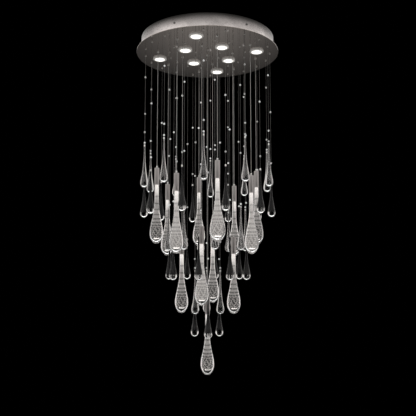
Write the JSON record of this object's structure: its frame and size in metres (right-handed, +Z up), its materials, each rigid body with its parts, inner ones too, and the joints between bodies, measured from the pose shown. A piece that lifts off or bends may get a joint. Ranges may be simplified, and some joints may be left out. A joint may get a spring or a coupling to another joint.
{
  "type": "crystal chandelier",
  "caption": "Round flush ceiling chandelier: steel canopy with downlights, lit bubble-crystal drops on cables and clear drops on beaded wires, in a tapering cascade.",
  "frame": {"origin": "middle of the face that lies against the ceiling; the part hangs below it", "axes": "+Z up, out of the ceiling face; -Y is the side seen in the picture; +X to its right"},
  "size_m": [0.5999, 0.6, 1.3945],
  "materials": {
    "brushed_drum_steel": "brushed round the drum",
    "polished_plate_steel": "mirror steel with a fine straight grain",
    "zinc_plated_steel": "zinc plated",
    "screw_steel": "nickel plated",
    "grip_nickel": "nickel plated, bright",
    "satin_bezel": "satin nickel",
    "lamp_glass": "frosted, lit",
    "reflector_aluminium": "satin",
    "socket_plastic": "moulded",
    "gear_case_plastic": "moulded white",
    "bush_rubber": "moulded",
    "satin_holder": "satin anodised",
    "bubble_crystal": "clear crystal filled with rows of bubbles, lit from its neck",
    "clear_crystal": "clear, polished",
    "strand_wire_steel": "fine stranded steel",
    "cable_sheath": "clear sheath over tinned strands"
  },
  "bodies": {
    "canopy": {"base_disc": "zinc_plated_steel", "cable_bush": "bush_rubber", "canopy_drum": "brushed_drum_steel", "drum_side_screws": "screw_steel", "face_plate": "polished_plate_steel", "plate_fixings": "screw_steel", "lamp_bezels": "satin_bezel", "lamp_lenses": "lamp_glass", "lamp_bodies": "reflector_aluminium", "lamp_sockets": "socket_plastic", "lamp_clips": "screw_steel", "control_gear": "gear_case_plastic", "wire_grips": "grip_nickel"},
    "outer_pendant_1": {"outer_pendant_1_holder": "satin_holder", "outer_pendant_1_crystal": "bubble_crystal"},
    "outer_pendant_2": {"outer_pendant_2_holder": "satin_holder", "outer_pendant_2_crystal": "bubble_crystal"},
    "outer_pendant_3": {"outer_pendant_3_holder": "satin_holder", "outer_pendant_3_crystal": "bubble_crystal"},
    "outer_pendant_4": {"outer_pendant_4_holder": "satin_holder", "outer_pendant_4_crystal": "bubble_crystal"},
    "outer_pendant_5": {"outer_pendant_5_holder": "satin_holder", "outer_pendant_5_crystal": "bubble_crystal"},
    "outer_pendant_6": {"outer_pendant_6_holder": "satin_holder", "outer_pendant_6_crystal": "bubble_crystal"},
    "outer_pendant_7": {"outer_pendant_7_holder": "satin_holder", "outer_pendant_7_crystal": "bubble_crystal"},
    "outer_pendant_8": {"outer_pendant_8_holder": "satin_holder", "outer_pendant_8_crystal": "bubble_crystal"},
    "inner_pendant_1": {"inner_pendant_1_holder": "satin_holder", "inner_pendant_1_crystal": "bubble_crystal"},
    "inner_pendant_2": {"inner_pendant_2_holder": "satin_holder", "inner_pendant_2_crystal": "bubble_crystal"},
    "inner_pendant_3": {"inner_pendant_3_holder": "satin_holder", "inner_pendant_3_crystal": "bubble_crystal"},
    "inner_pendant_4": {"inner_pendant_4_holder": "satin_holder", "inner_pendant_4_crystal": "bubble_crystal"},
    "centre_pendant": {"centre_pendant_holder": "satin_holder", "centre_pendant_crystal": "bubble_crystal"},
    "outer_strands_1": {"outer_strand_pair_1": "clear_crystal"},
    "outer_strands_2": {"outer_strand_pair_2": "clear_crystal"},
    "outer_strands_3": {"outer_strand_pair_3": "clear_crystal"},
    "outer_strands_4": {"outer_strand_pair_4": "clear_crystal"},
    "outer_strands_5": {"outer_strand_pair_5": "clear_crystal"},
    "outer_strands_6": {"outer_strand_pair_6": "clear_crystal"},
    "outer_strands_7": {"outer_strand_pair_7": "clear_crystal"},
    "outer_strands_8": {"outer_strand_pair_8": "clear_crystal"},
    "outer_strands_9": {"outer_strand_pair_9": "clear_crystal"},
    "outer_strands_10": {"outer_strand_pair_10": "clear_crystal"},
    "middle_strands_1": {"middle_strand_pair_1": "clear_crystal"},
    "middle_strands_2": {"middle_strand_pair_2": "clear_crystal"},
    "middle_strands_3": {"middle_strand_pair_3": "clear_crystal"},
    "middle_strands_4": {"middle_strand_pair_4": "clear_crystal"},
    "middle_strands_5": {"middle_strand_pair_5": "clear_crystal"},
    "middle_strands_6": {"middle_strand_pair_6": "clear_crystal"},
    "middle_strands_7": {"middle_strand_pair_7": "clear_crystal"},
    "middle_strands_8": {"middle_strand_pair_8": "clear_crystal"},
    "inner_strands_1": {"inner_strand_pair_1": "clear_crystal"},
    "inner_strands_2": {"inner_strand_pair_2": "clear_crystal"},
    "inner_strands_3": {"inner_strand_pair_3": "clear_crystal"}
  },
  "joints": [
    {"name": "outer_pendant_1_sway", "type": "hinge", "parent": "canopy", "child": "outer_pendant_1", "pos_m": [0.03845, -0.20747, -0.066], "axis": [0.1822, -0.9833, 0], "range_deg": [-3, 3]},
    {"name": "outer_pendant_2_sway", "type": "hinge", "parent": "canopy", "child": "outer_pendant_2", "pos_m": [0.17389, -0.11951, -0.066], "axis": [0.8241, -0.5664, 0], "range_deg": [-3, 3]},
    {"name": "outer_pendant_3_sway", "type": "hinge", "parent": "canopy", "child": "outer_pendant_3", "pos_m": [0.20747, 0.03845, -0.066], "axis": [0.9833, 0.1822, 0], "range_deg": [-3, 3]},
    {"name": "outer_pendant_4_sway", "type": "hinge", "parent": "canopy", "child": "outer_pendant_4", "pos_m": [0.11951, 0.17389, -0.066], "axis": [0.5664, 0.8241, 0], "range_deg": [-3, 3]},
    {"name": "outer_pendant_5_sway", "type": "hinge", "parent": "canopy", "child": "outer_pendant_5", "pos_m": [-0.03845, 0.20747, -0.066], "axis": [-0.1822, 0.9833, 0], "range_deg": [-3, 3]},
    {"name": "outer_pendant_6_sway", "type": "hinge", "parent": "canopy", "child": "outer_pendant_6", "pos_m": [-0.17389, 0.11951, -0.066], "axis": [-0.8241, 0.5664, 0], "range_deg": [-3, 3]},
    {"name": "outer_pendant_7_sway", "type": "hinge", "parent": "canopy", "child": "outer_pendant_7", "pos_m": [-0.20747, -0.03845, -0.066], "axis": [-0.9833, -0.1822, 0], "range_deg": [-3, 3]},
    {"name": "outer_pendant_8_sway", "type": "hinge", "parent": "canopy", "child": "outer_pendant_8", "pos_m": [-0.11951, -0.17389, -0.066], "axis": [-0.5664, -0.8241, 0], "range_deg": [-3, 3]},
    {"name": "inner_pendant_1_sway", "type": "hinge", "parent": "canopy", "child": "inner_pendant_1", "pos_m": [-0.02266, -0.10662, -0.066], "axis": [-0.2079, -0.9781, 0], "range_deg": [-2, 2]},
    {"name": "inner_pendant_2_sway", "type": "hinge", "parent": "canopy", "child": "inner_pendant_2", "pos_m": [0.10662, -0.02266, -0.066], "axis": [0.9781, -0.2079, 0], "range_deg": [-2, 2]},
    {"name": "inner_pendant_3_sway", "type": "hinge", "parent": "canopy", "child": "inner_pendant_3", "pos_m": [0.02266, 0.10662, -0.066], "axis": [0.2079, 0.9781, 0], "range_deg": [-2, 2]},
    {"name": "inner_pendant_4_sway", "type": "hinge", "parent": "canopy", "child": "inner_pendant_4", "pos_m": [-0.10662, 0.02266, -0.066], "axis": [-0.9781, 0.2079, 0], "range_deg": [-2, 2]},
    {"name": "centre_pendant_sway", "type": "hinge", "parent": "canopy", "child": "centre_pendant", "pos_m": [0, 0, -0.066], "axis": [1, 0, 0], "range_deg": [-1.2, 1.2]},
    {"name": "outer_strands_1_sway", "type": "hinge", "parent": "canopy", "child": "outer_strands_1", "pos_m": [0, 0, -0.064], "axis": [-0.0523, -0.9986, 0], "range_deg": [-3, 3]},
    {"name": "outer_strands_2_sway", "type": "hinge", "parent": "canopy", "child": "outer_strands_2", "pos_m": [0, 0, -0.064], "axis": [0.2588, -0.9659, 0], "range_deg": [-3, 3]},
    {"name": "outer_strands_3_sway", "type": "hinge", "parent": "canopy", "child": "outer_strands_3", "pos_m": [0, 0, -0.064], "axis": [0.5446, -0.8387, 0], "range_deg": [-3, 3]},
    {"name": "outer_strands_4_sway", "type": "hinge", "parent": "canopy", "child": "outer_strands_4", "pos_m": [0, 0, -0.064], "axis": [0.7771, -0.6293, 0], "range_deg": [-3, 3]},
    {"name": "outer_strands_5_sway", "type": "hinge", "parent": "canopy", "child": "outer_strands_5", "pos_m": [0, 0, -0.064], "axis": [0.9336, -0.3584, 0], "range_deg": [-3, 3]},
    {"name": "outer_strands_6_sway", "type": "hinge", "parent": "canopy", "child": "outer_strands_6", "pos_m": [0, 0, -0.064], "axis": [0.9986, -0.0523, 0], "range_deg": [-3, 3]},
    {"name": "outer_strands_7_sway", "type": "hinge", "parent": "canopy", "child": "outer_strands_7", "pos_m": [0, 0, -0.064], "axis": [0.9659, 0.2588, 0], "range_deg": [-3, 3]},
    {"name": "outer_strands_8_sway", "type": "hinge", "parent": "canopy", "child": "outer_strands_8", "pos_m": [0, 0, -0.064], "axis": [0.8387, 0.5446, 0], "range_deg": [-3, 3]},
    {"name": "outer_strands_9_sway", "type": "hinge", "parent": "canopy", "child": "outer_strands_9", "pos_m": [0, 0, -0.064], "axis": [0.6293, 0.7771, 0], "range_deg": [-3, 3]},
    {"name": "outer_strands_10_sway", "type": "hinge", "parent": "canopy", "child": "outer_strands_10", "pos_m": [0, 0, -0.064], "axis": [0.3584, 0.9336, 0], "range_deg": [-3, 3]},
    {"name": "middle_strands_1_sway", "type": "hinge", "parent": "canopy", "child": "middle_strands_1", "pos_m": [0, 0, -0.064], "axis": [-0.2079, -0.9781, 0], "range_deg": [-1.3, 1.3]},
    {"name": "middle_strands_2_sway", "type": "hinge", "parent": "canopy", "child": "middle_strands_2", "pos_m": [0, 0, -0.064], "axis": [0.1822, -0.9833, 0], "range_deg": [-1.3, 1.3]},
    {"name": "middle_strands_3_sway", "type": "hinge", "parent": "canopy", "child": "middle_strands_3", "pos_m": [0, 0, -0.064], "axis": [0.5446, -0.8387, 0], "range_deg": [-1.3, 1.3]},
    {"name": "middle_strands_4_sway", "type": "hinge", "parent": "canopy", "child": "middle_strands_4", "pos_m": [0, 0, -0.064], "axis": [0.8241, -0.5664, 0], "range_deg": [-1.3, 1.3]},
    {"name": "middle_strands_5_sway", "type": "hinge", "parent": "canopy", "child": "middle_strands_5", "pos_m": [0, 0, -0.064], "axis": [0.9781, -0.2079, 0], "range_deg": [-1.3, 1.3]},
    {"name": "middle_strands_6_sway", "type": "hinge", "parent": "canopy", "child": "middle_strands_6", "pos_m": [0, 0, -0.064], "axis": [0.9833, 0.1822, 0], "range_deg": [-1.3, 1.3]},
    {"name": "middle_strands_7_sway", "type": "hinge", "parent": "canopy", "child": "middle_strands_7", "pos_m": [0, 0, -0.064], "axis": [0.8387, 0.5446, 0], "range_deg": [-1.3, 1.3]},
    {"name": "middle_strands_8_sway", "type": "hinge", "parent": "canopy", "child": "middle_strands_8", "pos_m": [0, 0, -0.064], "axis": [0.5664, 0.8241, 0], "range_deg": [-1.3, 1.3]},
    {"name": "inner_strands_1_sway", "type": "hinge", "parent": "canopy", "child": "inner_strands_1", "pos_m": [0, 0, -0.064], "axis": [0.0523, -0.9986, 0], "range_deg": [-1, 1]},
    {"name": "inner_strands_2_sway", "type": "hinge", "parent": "canopy", "child": "inner_strands_2", "pos_m": [0, 0, -0.064], "axis": [0.891, -0.454, 0], "range_deg": [-1, 1]},
    {"name": "inner_strands_3_sway", "type": "hinge", "parent": "canopy", "child": "inner_strands_3", "pos_m": [0, 0, -0.064], "axis": [0.8387, 0.5446, 0], "range_deg": [-1, 1]}
  ]
}
